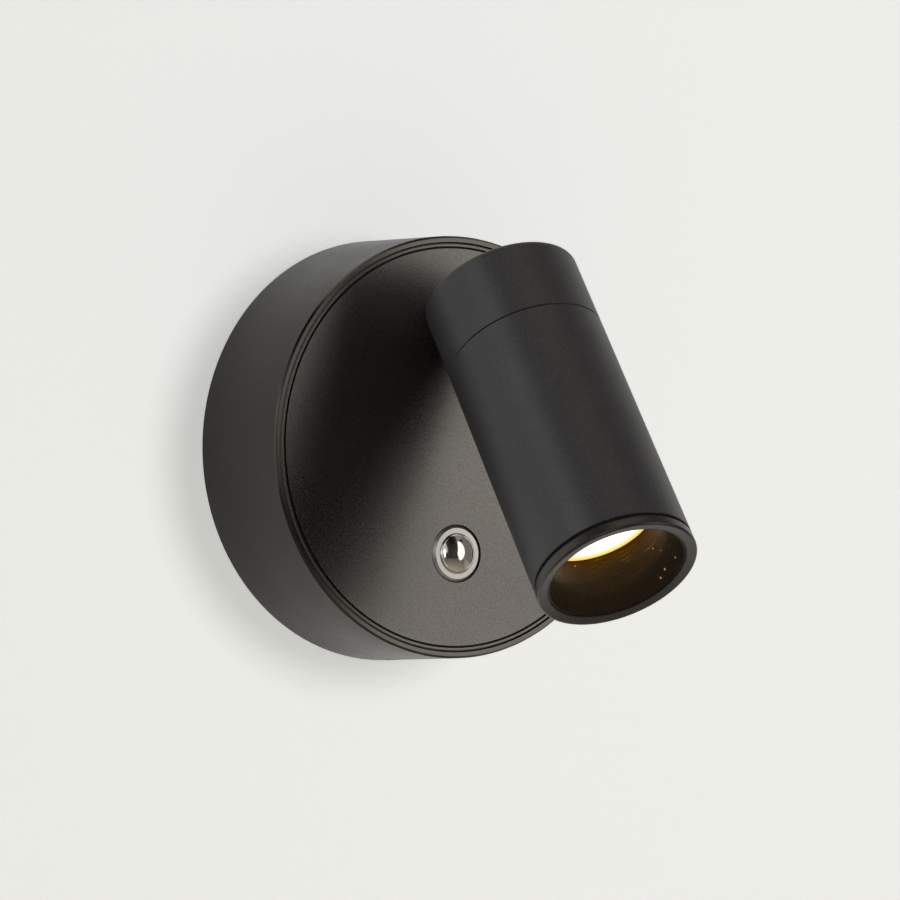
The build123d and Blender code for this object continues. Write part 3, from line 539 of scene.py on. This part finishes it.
def black_bezel():
    """Bezel: a dished face with rounded edges, and behind it the thin skirt that holds it in the barrel."""
    profile = rounded([
        (APERTURE, BEZEL_LOW, 0.0), (APERTURE, MOUTH - BEZEL_DISH, 0.1), (HEAD_RADIUS, MOUTH, 0.5),
        (BEZEL_BACK_RADIUS, BEZEL_LOW, 0.12), (SKIRT_OUTSIDE, BEZEL_LOW, 0.0),
        (SKIRT_OUTSIDE, SKIRT_LOW, 0.05), (SKIRT_INSIDE, SKIRT_LOW, 0.05), (SKIRT_INSIDE, BEZEL_LOW, 0.0),
    ])
    return turned("turned_bezel", profile, HEAD_ORIGIN, ALONG_HEAD, bezel_anodised, closed=True)


def wavy_baffle():
    """Baffle: a cone from the lens to the bezel, with a stepped back. Its wall swells and sinks a little.

    The swell is a small height times two sines, with five and three waves round the cone that lean as they
    go along it, and it fades out at the cone's ends.
    """
    share = np.linspace(0, 1, CONE_POINTS)[:, None]
    cone = (1 - share) * (LIT_RADIUS, LENS_FRONT) + share * (BAFFLE_MOUTH, BAFFLE_HIGH)
    behind = np.array([
        (BAFFLE_LIP, BAFFLE_HIGH), (BAFFLE_LIP, BEZEL_LOW), (BAFFLE_NECK, BEZEL_LOW),
        (BAFFLE_NECK, BAFFLE_FOOT), (SINK_RADIUS, BAFFLE_FOOT), (SINK_RADIUS, LENS_FRONT),
    ])
    profile = np.vstack([cone, behind])
    fade = np.vstack([np.sin(share * math.pi), np.zeros((len(behind), 1))])

    def swell(points, angle):
        height = points[:, 1:]
        return BAFFLE_SWELL * fade * np.sin(5 * angle + 0.9 * height) * np.sin(3 * angle - 0.5 * height)

    return turned("moulded_baffle", profile, HEAD_ORIGIN, ALONG_HEAD, baffle_gloss, closed=True, ripple=swell)


button_cap = chrome_cap()
FINER_PIECES = [
    (button_cap, "button_dome", "button", "chrome"),
    (steel_flange(), "button_body", "base", "satin_steel"),
    (black_bezel(), "bezel_ring", "head", "matt_black"),
    (wavy_baffle(), "baffle", "head", "gloss_black"),
]
for piece, solid, body, slot in FINER_PIECES:
    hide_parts(solid)
    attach(piece, body)


# Studio


def one_sided(name, shade, glow, spill):
    """Matt stage colour with a light of its own, clear from behind so that back views look through.

    glow is how bright that light looks, and spill is how much of it falls on the lamp and the rest.
    """
    material, tree, out = new_material(name)
    matt = node(tree, "BsdfDiffuse", {"Color": shade})
    seen = node(tree, "LightPath").outputs["Is Camera Ray"]
    strength = node(tree, "MapRange", {"Value": seen, "To Min": spill, "To Max": glow}).outputs["Result"]
    light = node(tree, "Emission", {"Color": shade, "Strength": strength})
    both = node(tree, "AddShader", {0: matt.outputs["BSDF"], 1: light.outputs["Emission"]})
    clear = node(tree, "BsdfTransparent")
    behind = node(tree, "NewGeometry").outputs["Backfacing"]
    pick = node(tree, "MixShader", {0: behind, 1: both.outputs["Shader"], 2: clear.outputs["BSDF"]})
    tree.links.new(pick.outputs["Shader"], out)
    return material


def stage_sheet(name, corners, material):
    """Flat stage sheet between four corners, facing the side they run round anticlockwise."""
    mesh = bpy.data.meshes.new(name)
    mesh.from_pydata(corners, [], [(0, 1, 2, 3)])
    mesh.materials.append(material)
    sheet = bpy.data.objects.new(name, mesh)
    bpy.context.scene.collection.objects.link(sheet)
    return sheet


WALL_BEHIND = 0.0006
STAGE = 4.0
FLOOR_DOWN = -1.2
WALL_GLOW = 0.57
FLOOR_GLOW = 0.75
FLOOR_SPILL = 0.05
# Matt paint on the wall and floor: pale and even, with no shine.
wall_paint = one_sided("matt_pale_wall", colour("#f2f3f0"), WALL_GLOW, WALL_GLOW)
floor_paint = one_sided("matt_pale_floor", colour("#ddd1bd"), FLOOR_GLOW, FLOOR_SPILL)
wall = stage_sheet("wall", [(-STAGE, WALL_BEHIND, -STAGE), (STAGE, WALL_BEHIND, -STAGE),
                            (STAGE, WALL_BEHIND, STAGE), (-STAGE, WALL_BEHIND, STAGE)], wall_paint)
stage_sheet("floor", [(-STAGE, -STAGE, FLOOR_DOWN), (STAGE, -STAGE, FLOOR_DOWN),
                      (STAGE, 0.0, FLOOR_DOWN), (-STAGE, 0.0, FLOOR_DOWN)], floor_paint)


def softbox(name, azimuth, elevation, distance, width, height, strength, tint):
    """Elliptical light aimed at the lamp. Its power is pi times its strength, width and height."""
    a, e = math.radians(azimuth), math.radians(elevation)
    towards = Vector((math.sin(a) * math.cos(e), -math.cos(a) * math.cos(e), math.sin(e)))
    light = bpy.data.lights.new(name, "AREA")
    light.shape = "ELLIPSE"
    light.size, light.size_y = width, height
    light.energy = math.pi * strength * width * height
    light.color = colour(tint)[:3]
    box = bpy.data.objects.new(name, light)
    box.location = towards * distance
    box.rotation_euler = towards.to_track_quat("Z", "Y").to_euler()
    box.visible_camera = False
    bpy.context.scene.collection.objects.link(box)
    return box


# Each panel has its azimuth and elevation in degrees, its distance, width and height in metres, its strength
# and its tint. The first five light the lamp.
LAMP_LIGHTS = [
    softbox("key_right", 33, 9, 1.3, 0.72, 1.42, 1.18, "#fff9f0"),
    softbox("fill_left", -35, 20, 1.6, 1.4, 1.2, 0.45, "#ffffff"),
    softbox("side_left", -57, 3, 1.4, 0.16, 1.0, 1.05, "#fff6ea"),
    softbox("strip_left", -29, 0, 1.5, 0.15, 0.8, 2.5, "#ffffff"),
    softbox("top", 0, 70, 1.4, 1.2, 0.5, 0.95, "#fff4e4"),
]
# A panel that only the head sees, for the soft band of light along its left side
HEAD_LIGHTS = [softbox("head_left", -80, 34, 1.4, 0.4, 0.8, 2.3, "#ffffff")]
# The wall has a light of its own, nearer to straight on, so that the drum's shadow on it stays narrow
WALL_LIGHTS = [softbox("wall_light", 14, 6, 1.3, 0.5, 0.5, 6.3, "#ffffff")]
# Dim panels that only the chrome cap mirrors, as it would a room's walls
CAP_PANELS = [
    softbox("room_right", 82, 5, 1.2, 1.9, 1.9, 0.15, "#e8dccb"),
    softbox("room_left", -75, 15, 1.2, 1.2, 1.6, 0.12, "#e6d8c4"),
    softbox("room_above", 20, 66, 1.2, 1.9, 1.2, 0.22, "#efe6d8"),
    softbox("room_below", -35, -48, 1.0, 0.6, 0.45, 0.20, "#dca75a"),
]


def link_lights(lights, objects, state, links="receiver_collection"):
    """Lights only the objects, or all but them. With the blocker links, only they cast its shadows."""
    group = bpy.data.collections.new(f"{lights[0].name}_{links}")
    for held in objects:
        group.objects.link(held)
    for held in group.collection_objects:
        held.light_linking.link_state = state
    for light in lights:
        setattr(light.light_linking, links, group)


HEAD_SHELL = [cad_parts["head_cap"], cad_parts["head_tube"]]
link_lights(LAMP_LIGHTS, [wall], "EXCLUDE")
link_lights(HEAD_LIGHTS, HEAD_SHELL, "INCLUDE")
link_lights(WALL_LIGHTS, [wall], "INCLUDE")
link_lights(WALL_LIGHTS, [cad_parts["base_drum"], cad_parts["front_plate"]], "INCLUDE",
            links="blocker_collection")
link_lights(CAP_PANELS, [button_cap], "INCLUDE")

# The room is pale where the camera sees it and nearly dark elsewhere, so that the panels shape the light
world = bpy.data.worlds.new("studio")
bpy.context.scene.world = world
world.use_nodes = True
sky = world.node_tree
sky.nodes.clear()
seen = node(sky, "Background", {"Color": colour("#ecede8"), "Strength": 1.0})
around = node(sky, "Background", {"Color": colour("#ffffff"), "Strength": 0.03})
direct = node(sky, "LightPath").outputs["Is Camera Ray"]
choice = node(sky, "MixShader", {0: direct, 1: around.outputs["Background"], 2: seen.outputs["Background"]})
node(sky, "OutputWorld", {"Surface": choice.outputs["Shader"]})

bpy.context.scene.view_settings.view_transform = "Standard"


# Camera: the photograph's own, found by fitting the lamp's circles and edges in the picture

CAMERA_AZIMUTH = math.radians(-33.216)
CAMERA_ELEVATION = math.radians(-1.712)
CAMERA_AWAY = 3.699
CAMERA_ASIDE = 0.016765
CAMERA_OVER = 0.000101
FOCAL_PIXELS = 15518.9
PICTURE_PIXELS = 900
SENSOR_MM = 36.0

back = Vector((
    math.sin(CAMERA_AZIMUTH) * math.cos(CAMERA_ELEVATION),
    -math.cos(CAMERA_AZIMUTH) * math.cos(CAMERA_ELEVATION),
    math.sin(CAMERA_ELEVATION),
))
right = Vector((math.cos(CAMERA_AZIMUTH), math.sin(CAMERA_AZIMUTH), 0.0))
up = back.cross(right)
lens_data = bpy.data.cameras.new("camera")
lens_data.sensor_width = SENSOR_MM
lens_data.lens = FOCAL_PIXELS * SENSOR_MM / PICTURE_PIXELS
lens_data.clip_end = 100.0
camera = bpy.data.objects.new("camera", lens_data)
turn = Matrix((right, up, back)).transposed()
camera.matrix_world = Matrix.Translation(
    right * CAMERA_ASIDE + up * CAMERA_OVER + back * CAMERA_AWAY) @ turn.to_4x4()
bpy.context.scene.collection.objects.link(camera)
bpy.context.scene.camera = camera
